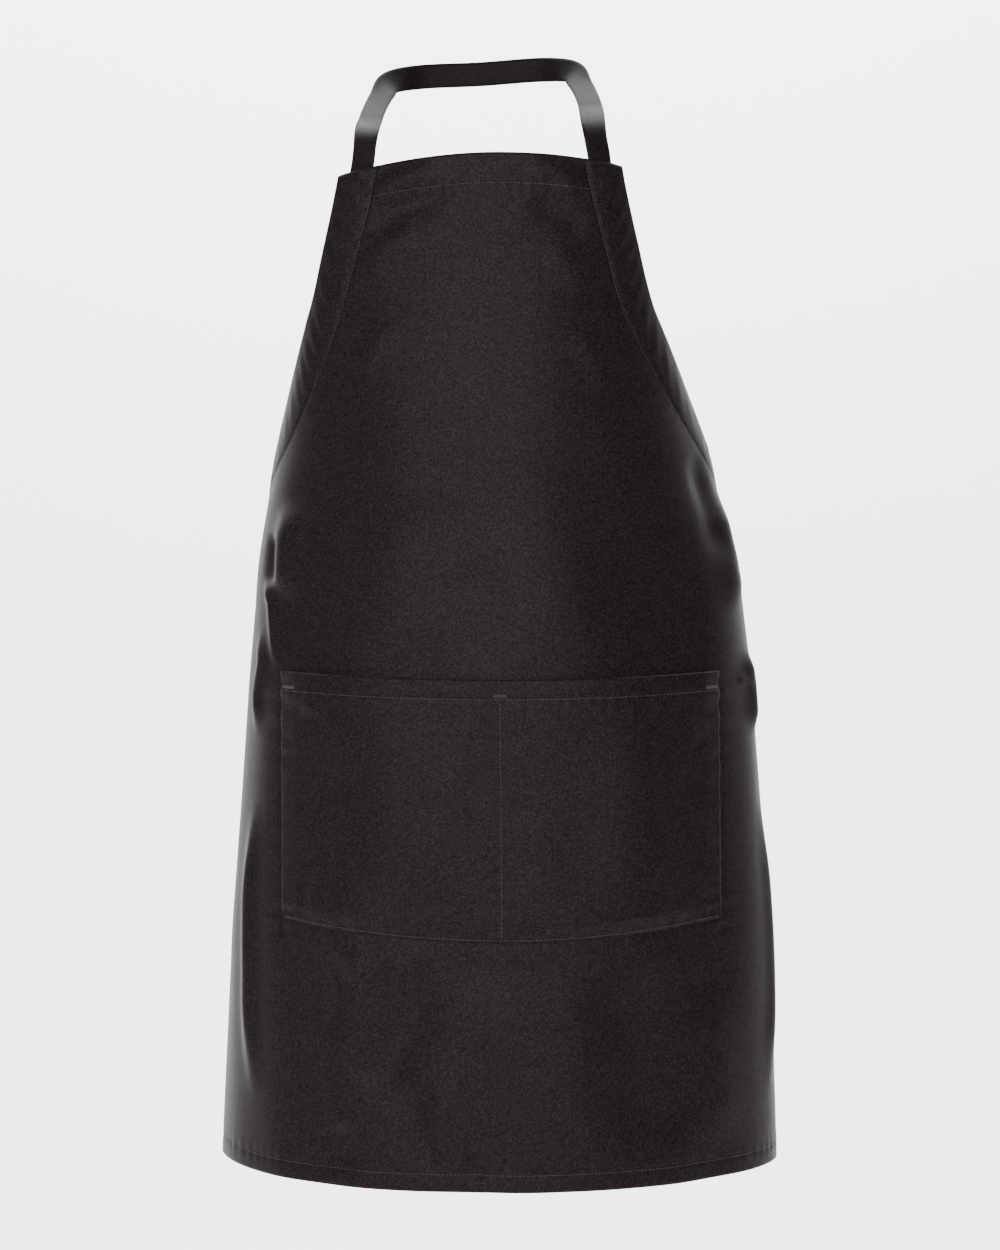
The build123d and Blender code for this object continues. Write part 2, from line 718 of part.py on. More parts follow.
bow_y = knot_y + 2 * STACK_STEP + PIVOT_GAP + (STRAP_THICK + BOW_BULGE) / 2
for name, side in SIDES.items():
    droop = radians(BOW_DROOP)
    outwards = Vector(side * cos(droop), 0, -sin(droop))
    upwards = Vector(side * sin(droop), 0, cos(droop))
    with BuildPart() as bow_loop:
        with BuildSketch(Plane(origin=(0, bow_y, TIE_Z), x_dir=outwards, z_dir=upwards)):
            add(bow_outline(0))
            add(bow_outline(STRAP_THICK), mode=Mode.SUBTRACT)
        extrude(amount=STRAP_WIDTH / 2, both=True)
        add(ring_zone(), mode=Mode.SUBTRACT)
    save(bow_loop, f"{name}_bow_loop")
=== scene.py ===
"""Looks of the bib apron: draped satin cloth, sewn hems and casings, pocket, strap and bow.

Lengths are in millimetres until a mesh is made, and angles in degrees round the torso, counted from
the middle of the front.  "flat" coordinates are those of the cut cloth: distance round from the
middle line, and height.
"""

import math

import bpy
import numpy as np
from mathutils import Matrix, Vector


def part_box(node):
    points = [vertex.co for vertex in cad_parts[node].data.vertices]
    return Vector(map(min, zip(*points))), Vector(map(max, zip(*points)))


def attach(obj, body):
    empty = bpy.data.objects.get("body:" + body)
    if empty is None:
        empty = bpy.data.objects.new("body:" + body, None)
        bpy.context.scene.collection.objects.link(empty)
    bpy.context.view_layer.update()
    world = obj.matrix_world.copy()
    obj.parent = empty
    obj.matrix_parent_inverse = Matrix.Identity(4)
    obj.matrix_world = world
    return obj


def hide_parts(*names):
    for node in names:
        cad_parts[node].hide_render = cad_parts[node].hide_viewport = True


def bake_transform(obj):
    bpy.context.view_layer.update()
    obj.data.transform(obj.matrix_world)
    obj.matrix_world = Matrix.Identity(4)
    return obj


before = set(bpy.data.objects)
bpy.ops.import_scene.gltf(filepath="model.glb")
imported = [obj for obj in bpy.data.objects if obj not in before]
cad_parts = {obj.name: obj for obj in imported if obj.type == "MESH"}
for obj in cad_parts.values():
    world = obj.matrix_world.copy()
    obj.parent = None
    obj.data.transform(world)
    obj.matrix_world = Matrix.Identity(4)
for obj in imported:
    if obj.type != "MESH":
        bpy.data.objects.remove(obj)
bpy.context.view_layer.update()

MM = 0.001

# ------------------------------------------------------------------ the worn shape, as in the frame
AXIS_Y = -45.0
STATIONS = np.array(
    [
        (-40.0, 152.0, 112.0),
        (-190.0, 152.0, 112.0),
        (-270.0, 160.0, 118.0),
        (-390.0, 185.5, 132.0),
        (-475.0, 194.5, 138.5),
        (-670.0, 209.0, 140.5),
        (-890.0, 214.5, 146.0),
    ]
)
BIB_TOP = -86.0
BIB_CROWN = 10.0
BIB_HALF = 110.0
BOTTOM = -848.0
HEM_RISE = 0.05
CORNER_Z = -336.0
CORNER_BEHIND = 58.0
HEM_BEHIND = 32.0
ARMHOLE = np.array(
    [(41.5, 30.0), (44.5, -11.0), (51.0, -64.0), (60.5, -122.0), (78.0, -180.0), (117.0, -250.0)]
)

BIB_HEM = 24.0
BOTTOM_HEM = 14.0
SIDE_HEM = 10.0
CASING = 33.0
STITCH_INSET = 1.5
CASING_ROW = CASING - STITCH_INSET
STRAP_WIDTH = 19.0
STRAP_INSET = 10.0
STRAP_OFFSET = -2.5
STRAP_THICK = 1.0
TUNNEL_DEPTH = 4.2  # how far a casing stands behind the panel, round the strap
TUNNEL_SIDE = 3.4  # and how far from its edges it reaches that depth
ARMHOLE_MITER = 0.42  # shift of an inset line at the armhole corner, as a share of the inset
LEG_DEPTH = 47.0
NECK_PIVOT_RISE = 12.0
NECK_POINTS = [(0, 0.6, 0), (46, -3, 0), (66, -16, -4), (77, -46, -21), (83, -88, -44)]

POCKET_HALF = 164.0
POCKET_TOP = -475.0
POCKET_BOTTOM = -667.0
MOUTH_SAG = 6.0
BOTTOM_SAG = 14.0
MOUTH_HEM = 16.0
CLOTH = 0.5
SEAM_GAP = 0.1
BOW_DROOP = 8.0
BOW_LENGTH = 78.0
BOW_BULGE = 9.0
TAIL_LENGTH = 235.0
TAIL_LEAN = 7.0
TAIL_POINT = 9.0


def smooth(value):
    """0 to 1 with level ends."""
    value = np.clip(value, 0, 1)
    return value * value * (3 - 2 * value)


def bump(distance, width):
    """A soft bell of height 1."""
    return np.exp(-((distance / width) ** 2))


fine_z = np.arange(-40.0, -900.0, -2.0)
kernel = bump(np.arange(-24, 25), 9.0)
kernel /= kernel.sum()


def softened(column):
    """A station column, read every 2 mm and rounded off at its corners."""
    line = np.interp(-fine_z, -STATIONS[:, 0], STATIONS[:, column])
    return np.convolve(np.pad(line, 24, mode="edge"), kernel, mode="valid")


WIDE = softened(1)
DEEP = softened(2)


def half_size(z):
    """Half width and half depth of the cloth at each height."""
    return np.interp(-z, -fine_z, WIDE), np.interp(-z, -fine_z, DEEP)


table_angles = np.linspace(0, 150, 151)
table_turns = np.radians(table_angles)
table_wide, table_deep = (side[:, None] for side in half_size(fine_z))
steps = np.hypot(table_wide * np.cos(table_turns), table_deep * np.sin(table_turns))
ARC = np.zeros_like(steps)
ARC[:, 1:] = np.cumsum((steps[:, 1:] + steps[:, :-1]) / 2, axis=1) * math.radians(1)


def arc(angle, z):
    """Distance round the cloth from the middle line, signed as the angle is."""
    row = np.clip((-40.0 - z) / 2.0, 0, len(fine_z) - 1.001)
    column = np.clip(np.abs(angle), 0, 149.99)
    i, j = row.astype(int), column.astype(int)
    di, dj = row - i, column - j
    top = ARC[i, j] * (1 - dj) + ARC[i, j + 1] * dj
    low = ARC[i + 1, j] * (1 - dj) + ARC[i + 1, j + 1] * dj
    return np.sign(angle) * (top * (1 - di) + low * di)


def angle_at(flat, z):
    """The angle at which the cloth has gone that far round."""
    angle = np.asarray(flat, float) / 3.0
    for _ in range(6):
        wide, deep = half_size(z)
        turn = np.radians(angle)
        slope = np.radians(1) * np.hypot(wide * np.cos(turn), deep * np.sin(turn))
        angle = angle + (flat - arc(angle, z)) / slope
    return angle


def hermite(x, points):
    """A smooth line through points, given as rows of (value, place) with falling places."""
    place = -points[:, 1]
    value = points[:, 0]
    slope = np.gradient(value, place)
    i = np.clip(np.searchsorted(place, -x) - 1, 0, len(place) - 2)
    span = place[i + 1] - place[i]
    t = np.clip((-x - place[i]) / span, 0, 1)
    return (
        value[i] * (2 * t**3 - 3 * t**2 + 1)
        + slope[i] * span * (t**3 - 2 * t**2 + t)
        + value[i + 1] * (3 * t**2 - 2 * t**3)
        + slope[i + 1] * span * (t**3 - t**2)
    )


def edge_angle(z):
    """How far round the cloth reaches at each height: armhole above, side edge below."""
    share = (CORNER_Z - z) / (CORNER_Z - BOTTOM)
    behind = CORNER_BEHIND + share * (HEM_BEHIND - CORNER_BEHIND)
    side = np.degrees(np.arccos(np.clip(-behind / half_size(z)[1], -1, 1)))
    return np.where(z > CORNER_Z, hermite(z - BIB_TOP, ARMHOLE), side)


def sway(z):
    """The whole drape leans a little to one side at the top and to the other below."""
    return np.interp(-z, [60, 200, 300, 420, 560, 700, 850], [-7.5, -7.0, 1.0, 6.5, 8.0, 8.8, 7.8])


# ------------------------------------------------------------------ distances on the flat cloth
edge_heights = np.linspace(BIB_TOP + 26, CORNER_Z, 90)
edge_flat = arc(edge_angle(edge_heights), edge_heights)
ARMHOLE_LINE = np.stack([edge_flat, edge_heights], axis=1)
ARMHOLE_LINE = np.vstack([ARMHOLE_LINE, ARMHOLE_LINE[-1] + (60.0, 0.0)])


def to_line(flat, z, line):
    """Distance to a polyline and the length along it to the nearest place."""
    best = np.full(np.shape(flat), 1e9)
    along = np.zeros(np.shape(flat))
    run = 0.0
    for (x1, z1), (x2, z2) in zip(line[:-1], line[1:]):
        dx, dz = x2 - x1, z2 - z1
        length = math.hypot(dx, dz)
        t = np.clip(((flat - x1) * dx + (z - z1) * dz) / length**2, 0, 1)
        gap = np.hypot(flat - x1 - t * dx, z - z1 - t * dz)
        nearer = gap < best
        best = np.where(nearer, gap, best)
        along = np.where(nearer, run + t * length, along)
        run += length
    return best, along


def inset_line(inset, count=80, above=0.0):
    """The line that runs beside the right armhole, that far in, from that far above the bib's edge."""
    line = ARMHOLE_LINE
    steps = np.gradient(line, axis=0)
    length = np.hypot(steps[:, 0], steps[:, 1])
    moved = line + inset * np.stack([steps[:, 1], -steps[:, 0]], axis=1) / length[:, None]
    if inset:
        moved[-2] = line[-2, 0] - inset * ARMHOLE_MITER, line[-2, 1] - inset
        moved[-1] = line[-1, 0], line[-1, 1] - inset
    side = arc(edge_angle(moved[:, 1]), moved[:, 1])
    top = BIB_TOP - BIB_CROWN * (np.sin(np.radians(angle_at(moved[:, 0], moved[:, 1]))) * 152 / BIB_HALF) ** 2
    keep = (moved[:, 1] < top + above) & ((moved[:, 0] < side + 0.5) | (moved[:, 1] > CORNER_Z))
    moved = moved[keep]
    run = np.concatenate([[0], np.cumsum(np.hypot(*np.diff(moved, axis=0).T))])
    even = np.linspace(0, run[-1], count)
    return np.stack([np.interp(even, run, moved[:, k]) for k in (0, 1)], axis=1)


def pocket_edge(across, which):
    """Height of the pocket's mouth or bottom edge at a distance from its middle."""
    middle, rise = {"mouth": (POCKET_TOP, MOUTH_SAG), "bottom": (POCKET_BOTTOM, BOTTOM_SAG)}[which]
    return middle + rise * (across / POCKET_HALF) ** 2


# ------------------------------------------------------------------ folds of the drape
# each fold: line of (front x, height) points, height of the ridge, width, and how sharp its crest is
FOLDS = [
    # pull lines across the bib, from the casings' seams
    ([(-84, -118), (-60, -104), (-28, -96)], 1.6, 9, 1.0),
    ([(-86, -138), (-58, -124), (-20, -116)], -1.2, 11, 1.0),
    ([(-88, -170), (-66, -150), (-44, -140)], 1.0, 9, 1.0),
    ([(76, -116), (56, -102), (30, -95)], 1.4, 9, 1.0),
    ([(80, -150), (60, -132), (34, -122)], -1.2, 11, 1.0),
    ([(84, -190), (62, -168), (46, -160)], 1.0, 10, 1.0),
    ([(-96, -250), (-76, -222), (-62, -204)], 0.9, 10, 1.0),
    ([(96, -262), (78, -232), (66, -214)], 0.9, 10, 1.0),
    # slack at the waist and down both sides
    ([(-146, -340), (-158, -372), (-162, -420)], 3.0, 16, 1.0),
    ([(-168, -362), (-170, -392), (-172, -410)], -2.0, 9, 1.0),
    ([(-176, -395), (-170, -418), (-168, -444), (-167, -470)], 2.4, 7, 0.6),
    ([(-182, -436), (-179, -462), (-184, -486), (-185, -520)], 2.0, 8, 0.8),
    ([(168, -330), (176, -380), (180, -430)], 2.6, 18, 1.0),
    ([(186, -450), (190, -480), (192, -520)], 2.4, 10, 0.8),
    ([(178, -476), (190, -478)], 0.7, 3, 0.6),
    ([(150, -300), (164, -350), (170, -392)], -2.2, 14, 1.0),
    # long soft pipes of the skirt
    ([(-60, -330), (-66, -420), (-60, -470)], 2.0, 42, 1.0),
    ([(-18, -380), (-8, -440), (-16, -470)], -1.4, 22, 1.0),
    ([(34, -300), (40, -390), (44, -470)], 1.8, 36, 1.0),
    ([(96, -360), (112, -430), (116, -480)], -2.4, 34, 1.0),
    ([(-128, -672), (-122, -706), (-124, -742)], -1.8, 9, 1.0),
    ([(-108, -672), (-104, -700)], 1.6, 8, 1.0),
    ([(-78, -674), (-76, -698), (-84, -730)], 1.8, 9, 1.0),
    ([(-62, -676), (-72, -730), (-98, -790)], -3.2, 24, 1.0),
    ([(-20, -680), (-26, -740), (-30, -830)], 2.6, 34, 1.0),
    ([(40, -680), (48, -750), (52, -840)], 2.2, 36, 1.0),
    ([(92, -680), (104, -750), (112, -830)], -2.6, 34, 1.0),
    ([(-66, -770), (-58, -806), (-46, -838)], -2.2, 10, 0.9),
    ([(-50, -760), (-40, -800), (-34, -836)], 1.4, 10, 1.0),
    ([(-20, -812), (-16, -842)], -1.6, 8, 1.0),
    ([(-120, -800), (-112, -838)], -1.6, 14, 1.0),
    ([(-186, -560), (-192, -640), (-192, -720), (-186, -800)], 2.6, 10, 0.8),
    ([(196, -560), (202, -640), (204, -720), (202, -800)], 1.8, 9, 0.9),
    ([(150, -700), (158, -760), (164, -830)], 1.6, 22, 1.0),
]

POCKET_FOLDS = [
    ([(-84, -492), (-74, -560), (-80, -640)], 1.5, 30, 1.0),
    ([(-42, -500), (-36, -566), (-52, -650)], 1.0, 19, 1.0),
    ([(-16, -530), (-22, -590)], -0.6, 11, 1.0),
    ([(22, -566), (30, -612), (22, -656)], 0.7, 17, 1.0),
    ([(58, -490), (64, -560), (50, -640)], -1.0, 27, 1.0),
    ([(-122, -520), (-112, -590), (-116, -650)], -1.1, 28, 1.0),
    ([(98, -500), (90, -570), (106, -650)], 1.0, 31, 1.0),
    ([(-146, -486), (-136, -502)], 0.6, 8, 1.0),
    ([(-10, -498), (-34, -524)], 0.5, 9, 1.0),
    ([(134, -494), (150, -522)], 0.6, 10, 1.0),
]

FOLD_GAIN = 2.1  # all of the folds are raised by this


def fold_relief(flat, z, folds):
    """Sum of the folds' heights at each place of the cloth."""
    total = np.zeros(np.shape(flat))
    for points, height, width, crest in folds:
        line = []
        for x, level in points:
            wide, _ = half_size(np.array(level))
            angle = np.degrees(np.arcsin(np.clip(x / wide, -0.999, 0.999)))
            line.append((float(arc(np.array(angle), np.array(level))), level))
        lengths = [math.dist(p, q) for p, q in zip(line, line[1:])]
        near = np.abs(z - np.mean([p[1] for p in line])) < sum(lengths) / 2 + 4 * width
        if not near.any():
            continue
        gap, along = to_line(flat[near], z[near], line)
        share = along / sum(lengths)
        ends = smooth(share / 0.3) * smooth((1 - share) / 0.3)
        ends = np.maximum(ends, 0.0)
        total[near] += FOLD_GAIN * height * ends * np.exp(-((gap / width) ** (1 + crest)))
    return total


def waves(flat, z, terms):
    """Broad waves: rows of (height, wavelength across, wavelength down, phase)."""
    total = np.zeros(np.shape(flat))
    for height, across, down, phase in terms:
        total += height * np.sin(2 * math.pi * (flat / across + z / down) + phase)
    return total


def pucker(along, pitch, seed):
    """Uneven ripples along a seam."""
    shift = 1.7 * np.sin(along / 23.0 + seed) + 1.1 * np.sin(along / 9.7 + 2.3 * seed)
    return np.sin(2 * math.pi * along / pitch + shift) * (0.65 + 0.35 * np.sin(along / 37.0 + seed))


def seam(gap, along, depth, reach, ripple, pitch, seed):
    """A line of stitches pulled into the cloth, with ripples that die away beside it."""
    return -depth * bump(gap, 1.5) + ripple * bump(gap, reach) * pucker(along, pitch, seed)


CASING_LINE = inset_line(CASING_ROW)


def hem_height(y):
    """Height of the bottom edge at a depth."""
    front = AXIS_Y - half_size(np.array(BOTTOM))[1]
    return BOTTOM + HEM_RISE * (y - front)


def relief(angle, z):
    """How far the panel stands proud of its plain shape."""
    flat = arc(angle, z)
    right = np.abs(flat)
    left_side = angle < 0
    out = fold_relief(flat, z, FOLDS)
    low = smooth((-z - 300) / 260)
    calm = 1 - 0.75 * bump(np.hypot(flat / 150, (z + 570) / 90), 1.0)
    out += low * calm * waves(
        flat + 10 * np.sin(z / 130),
        z,
        [(1.3, 176, 4000, 0.6), (0.9, 104, 3100, 2.1), (0.35, 61, 1500, 4.0)],
    )
    out += (1 - low) * waves(flat, z, [(0.8, 210, 520, 1.0), (0.4, 97, -330, 0.3)])

    # casings: the channel stands round between the fold and its seam, and is stretched flat at the side
    slack = 0.25 + 0.75 * smooth((72 - np.abs(angle)) / 34)
    gap, along = to_line(right, z, ARMHOLE_LINE)
    side_seed = np.where(left_side, 0.4, 2.9)
    in_casing = smooth((CASING - gap) / 4) * (z > CORNER_Z - CASING - 4)
    out += 1.5 * np.sin(np.clip(gap / CASING_ROW, 0, 1) * math.pi) ** 0.8 * in_casing
    slant = along - 0.8 * gap
    wrinkle = np.sin(2 * math.pi * slant / 17 + 2.2 * np.sin(along / 31 + side_seed))
    out += 0.6 * slack * wrinkle * np.sin(np.clip(gap / CASING_ROW, 0, 1) * math.pi) ** 2 * in_casing
    row_gap, row_along = to_line(right, z, CASING_LINE)
    out += slack * seam(row_gap, row_along + np.where(left_side, 0, 11), 0.8, 8.0, 0.5, 13.0, side_seed)

    # the bib's hem and the two hems of the skirt
    x = half_size(z)[0] * np.sin(np.radians(angle))
    y = AXIS_Y - half_size(z)[1] * np.cos(np.radians(angle))
    crown = BIB_TOP - BIB_CROWN * (x / BIB_HALF) ** 2
    beside = smooth((row_gap - 2) / 10) * (gap > CASING)
    row = crown - z - (BIB_HEM - STITCH_INSET)
    out += beside * seam(row, flat, 0.35, 6.0, 0.3, 9.0, 1.3)
    under = CORNER_Z - z > CASING
    edge = arc(edge_angle(z), z) - right
    out += under * seam(edge - (SIDE_HEM - STITCH_INSET), -z, 0.5, 6.0, 0.45, 12.0, side_seed)
    row = z - hem_height(y) - (BOTTOM_HEM - STITCH_INSET)
    out += seam(row, flat, 0.4, 6.0, 0.3, 10.0, 0.7)

    # the free edges: a little curl at the lower left, and the skirt's sides turn in
    curl = bump(edge, 16) * smooth((-z - 560) / 120) * smooth((850 + z) / 60)
    out += np.where(left_side, 4.5, 1.5) * curl

    # the pocket's seams pull at the panel
    half = half_size(z)[0] * np.sin(np.radians(np.abs(angle)))
    down_pocket = smooth((POCKET_TOP + 8 - z) / 10) * smooth((z - POCKET_BOTTOM + 6) / 10)
    out += down_pocket * seam(half - POCKET_HALF, z, 0.5, 9.0, 0.5, 19.0, 1.9)
    below = z - pocket_edge(x, "bottom")
    over = half < POCKET_HALF
    out += over * seam(below, flat, 0.5, 11.0, 0.7, 23.0, 2.4)
    return out


def place(angle, z, out):
    """Points of the row frame, in metres, at a distance outside the plain shape."""
    wide, deep = half_size(z)
    turn = np.radians(angle)
    normal = np.stack([np.sin(turn) / wide, -np.cos(turn) / deep], axis=-1)
    normal /= np.linalg.norm(normal, axis=-1)[..., None]
    x = wide * np.sin(turn) + normal[..., 0] * out + sway(z)
    y = AXIS_Y - deep * np.cos(turn) + normal[..., 1] * out
    tilt = 0.035 * smooth((z + 350) / 230)
    return np.stack([x, y, z + tilt * x], axis=-1) * MM


def on_panel(angle, z, out=0.0):
    """Points on the draped panel, or at a distance outside it."""
    angle, z = np.broadcast_arrays(np.asarray(angle, float), np.asarray(z, float))
    return place(angle, z, relief(angle, z) + out)


def pocket_gap(angle, z):
    """How far the pocket stands off the panel."""
    x = half_size(z)[0] * np.sin(np.radians(angle))
    mouth = pocket_edge(x, "mouth") - z
    bottom = z - pocket_edge(x, "bottom")
    side = POCKET_HALF - np.abs(x)
    inside = smooth(side / 14) * smooth(bottom / 14) * smooth((np.abs(x) - 1) / 15)
    belly = 1.2 + 2.6 * np.sin(np.clip(np.abs(x) / POCKET_HALF, 0, 1) * math.pi) ** 2
    out = 0.7 + inside * (belly + 0.9 * bump(mouth, 40))
    out += inside * fold_relief(arc(angle, z), z, POCKET_FOLDS)
    out += seam(mouth - (MOUTH_HEM - STITCH_INSET), x, 0.35, 6.0, 0.35, 8.0, 0.2) * smooth(side / 4)
    out += seam(x, z, 0.5, 9.0, 0.5, 14.0, 0.9) * smooth(mouth / 20)
    out += seam(side - STITCH_INSET, z, 0.2, 8.0, 0.35, 13.0, 1.4) * smooth(mouth / 20)
    out += seam(bottom - STITCH_INSET, x, 0.2, 9.0, 0.35, 16.0, 3.1)
    return np.maximum(out, 0.55)


def on_pocket(angle, z, out=0.0):
    """Points on the pocket's outer face, or at a distance outside it."""
    angle, z = np.broadcast_arrays(np.asarray(angle, float), np.asarray(z, float))
    return place(angle, z, relief(angle, z) + pocket_gap(angle, z) + out)


# ------------------------------------------------------------------ materials
def new_material(name):
    """An empty node material: its tree, shader and output."""
    material = bpy.data.materials.new(name)
    material.use_nodes = True
    tree = material.node_tree
    shader = tree.nodes["Principled BSDF"]
    return material, tree, shader


def node(tree, kind, **values):
    """Adds a node and sets its properties and unlinked inputs."""
    made = tree.nodes.new(kind)
    for key, value in values.items():
        if key in made.inputs.keys():
            made.inputs[key].default_value = value
        else:
            setattr(made, key, value)
    return made


def cloth_material(name, dark, light, roughness, sheen, weave, weave_depth, speckle):
    """Woven satin: fine twill lines, slubs, a speckled colour and soft large stains of sheen."""
    material, tree, shader = new_material(name)
    link = tree.links.new
    uv = node(tree, "ShaderNodeUVMap", uv_map="flat")
    place_node = node(tree, "ShaderNodeTexCoord")
    fine = node(tree, "ShaderNodeTexNoise", Scale=speckle, Detail=3.0, Roughness=0.75)
    link(place_node.outputs["Object"], fine.inputs["Vector"])
    spread = node(tree, "ShaderNodeMapRange")
    spread.inputs["From Min"].default_value = 0.40
    spread.inputs["From Max"].default_value = 0.68
    link(fine.outputs["Fac"], spread.inputs["Value"])
    colour = node(tree, "ShaderNodeMix", data_type="RGBA")
    colour.inputs[6].default_value = (*dark, 1)
    colour.inputs[7].default_value = (*light, 1)
    link(spread.outputs["Result"], colour.inputs["Factor"])
    link(colour.outputs[2], shader.inputs["Base Color"])

    broad = node(tree, "ShaderNodeTexNoise", Scale=9.0, Detail=4.0, Roughness=0.5)
    link(place_node.outputs["Object"], broad.inputs["Vector"])
    rough = node(tree, "ShaderNodeMapRange")
    rough.inputs["To Min"].default_value = roughness - 0.04
    rough.inputs["To Max"].default_value = roughness + 0.05
    link(broad.outputs["Fac"], rough.inputs["Value"])
    link(rough.outputs["Result"], shader.inputs["Roughness"])

    twill = node(tree, "ShaderNodeTexWave", Scale=weave, Distortion=0.6, Detail=1.0)
    twill.bands_direction = "DIAGONAL"
    twill.inputs["Detail Scale"].default_value = 2.0
    link(uv.outputs["UV"], twill.inputs["Vector"])
    threads = node(tree, "ShaderNodeTexWave", Scale=weave * 1.6, Distortion=0.3)
    threads.bands_direction = "Y"
    link(uv.outputs["UV"], threads.inputs["Vector"])
    both = node(tree, "ShaderNodeMath", operation="MULTIPLY")
    link(twill.outputs["Fac"], both.inputs[0])
    link(threads.outputs["Fac"], both.inputs[1])
    slub = node(tree, "ShaderNodeTexNoise", Scale=420.0, Detail=2.0)
    link(place_node.outputs["Object"], slub.inputs["Vector"])
    height = node(tree, "ShaderNodeMath", operation="MULTIPLY_ADD")
    height.inputs[1].default_value = 0.5
    link(slub.outputs["Fac"], height.inputs[0])
    link(both.outputs[0], height.inputs[2])
    rise = node(tree, "ShaderNodeBump", Strength=0.35, Distance=weave_depth)
    link(height.outputs[0], rise.inputs["Height"])
    link(rise.outputs["Normal"], shader.inputs["Normal"])

    shader.inputs["IOR"].default_value = 1.18
    shader.inputs["Sheen Weight"].default_value = sheen
    shader.inputs["Sheen Roughness"].default_value = 0.35
    shader.inputs["Sheen Tint"].default_value = (0.75, 0.68, 0.66, 1)
    return material


def thread_material():
    """Twisted sewing thread, a little glossier than the cloth."""
    material, tree, shader = new_material("thread")
    coordinates = node(tree, "ShaderNodeTexCoord")
    twist = node(tree, "ShaderNodeTexWave", Scale=900.0, Distortion=1.0)
    twist.bands_direction = "DIAGONAL"
    tree.links.new(coordinates.outputs["Object"], twist.inputs["Vector"])
    colour = node(tree, "ShaderNodeMix", data_type="RGBA")
    colour.inputs[6].default_value = (0.010, 0.008, 0.008, 1)
    colour.inputs[7].default_value = (0.032, 0.026, 0.025, 1)
    tree.links.new(twist.outputs["Fac"], colour.inputs["Factor"])
    tree.links.new(colour.outputs[2], shader.inputs["Base Color"])
    rise = node(tree, "ShaderNodeBump", Strength=0.5, Distance=0.0001)
    tree.links.new(twist.outputs["Fac"], rise.inputs["Height"])
    tree.links.new(rise.outputs["Normal"], shader.inputs["Normal"])
    shader.inputs["Roughness"].default_value = 0.5
    return material


SATIN = cloth_material(
    "satin_front", (0.0040, 0.0029, 0.0030), (0.0260, 0.0165, 0.0165), 0.43, 0.0, 1500.0, 0.00010, 620.0
)
SATIN_BACK = cloth_material(
    "satin_back", (0.0050, 0.0040, 0.0041), (0.0170, 0.0125, 0.0125), 0.62, 0.0, 1500.0, 0.00012, 620.0
)
TAPE = cloth_material(
    "strap_tape", (0.0040, 0.0030, 0.0031), (0.0190, 0.0130, 0.0130), 0.52, 0.0, 1800.0, 0.00010, 700.0
)
LABEL = cloth_material(
    "label_tape", (0.50, 0.49, 0.46), (0.66, 0.65, 0.61), 0.7, 0.15, 2200.0, 0.00014, 900.0
)
THREAD = thread_material()


# ------------------------------------------------------------------ mesh makers
def grid_mesh(name, points, flat, materials, thickness=CLOTH, offset=-1.0, closed=False):
    """A sheet of cloth from a grid of points, with its flat coordinates and a thickness."""
    rows, columns = points.shape[:2]
    index = np.arange(rows * columns).reshape(rows, columns)
    if closed:
        index = np.vstack([index, index[:1]])
    quads = np.stack([index[:-1, :-1], index[1:, :-1], index[1:, 1:], index[:-1, 1:]], axis=-1)
    mesh = bpy.data.meshes.new(name)
    mesh.from_pydata(points.reshape(-1, 3).tolist(), [], quads.reshape(-1, 4).tolist())
    layer = mesh.uv_layers.new(name="flat")
    loops = np.empty(len(mesh.loops), int)
    mesh.loops.foreach_get("vertex_index", loops)
    layer.data.foreach_set("uv", (flat.reshape(-1, 2)[loops] * MM).ravel())
    mesh.shade_smooth()
    obj = bpy.data.objects.new(name, mesh)
    bpy.context.scene.collection.objects.link(obj)
    for material in materials:
        mesh.materials.append(material)
    if thickness:
        solid = obj.modifiers.new("thickness", "SOLIDIFY")
        solid.thickness = thickness * MM
        solid.offset = offset
        solid.material_offset = len(materials) - 1
        apply_modifiers(obj)
    return obj


def apply_modifiers(obj):
    """Bakes an object's modifiers into its mesh."""
    depsgraph = bpy.context.evaluated_depsgraph_get()
    baked = bpy.data.meshes.new_from_object(obj.evaluated_get(depsgraph))
    obj.modifiers.clear()
    obj.data = baked


def dress(obj, body, nodes):
    """Puts a finished piece on its body, in place of its nodes."""
    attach(obj, body)
    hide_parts(*nodes)
    return obj


# ------------------------------------------------------------------ the panel
def panel_grid(columns, rows):
    """Angles and heights of the whole panel, bounded by its outline."""
    across = np.linspace(-1, 1, columns)[None, :]
    down = np.linspace(0, 1, rows)[:, None]
    z = BIB_TOP + (BOTTOM - BIB_TOP) * down + 0 * across
    middle = z.copy()
    for _ in range(8):
        angle = across * edge_angle(z)
        wide, deep = half_size(z)
        x = wide * np.sin(np.radians(angle))
        y = AXIS_Y - deep * np.cos(np.radians(angle))
        crown = -BIB_CROWN * (x / BIB_HALF) ** 2 * smooth(1 - (BIB_TOP - middle) / 120)
        rise = (hem_height(y) - BOTTOM) * smooth(1 - (middle - BOTTOM) / 200)
        z = middle + crown + rise
    return angle, z


columns, rows = ((241, 361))
angle, z = panel_grid(columns, rows)
panel_flat = np.stack([arc(angle, z), z], axis=-1)
panel = grid_mesh("apron_panel", on_panel(angle, z), panel_flat, [SATIN, SATIN_BACK])
dress(panel, "apron", ["body_panel"])


def angle_of(x, z):
    """The angle at which the plain shape is that far to the side."""
    return np.degrees(np.arcsin(np.clip(x / half_size(z)[0], -0.999, 0.999)))


def crown_height(x):
    """Height of the bib's top edge."""
    return BIB_TOP - BIB_CROWN * (x / BIB_HALF) ** 2


def patch(name, angle, z, out, nodes, material=SATIN_BACK):
    """A layer of cloth that follows the panel at a distance from it."""
    flat = np.stack([arc(angle, z), z], axis=-1)
    return dress(grid_mesh(name, on_panel(angle, z, out), flat, [material]), "apron", nodes)


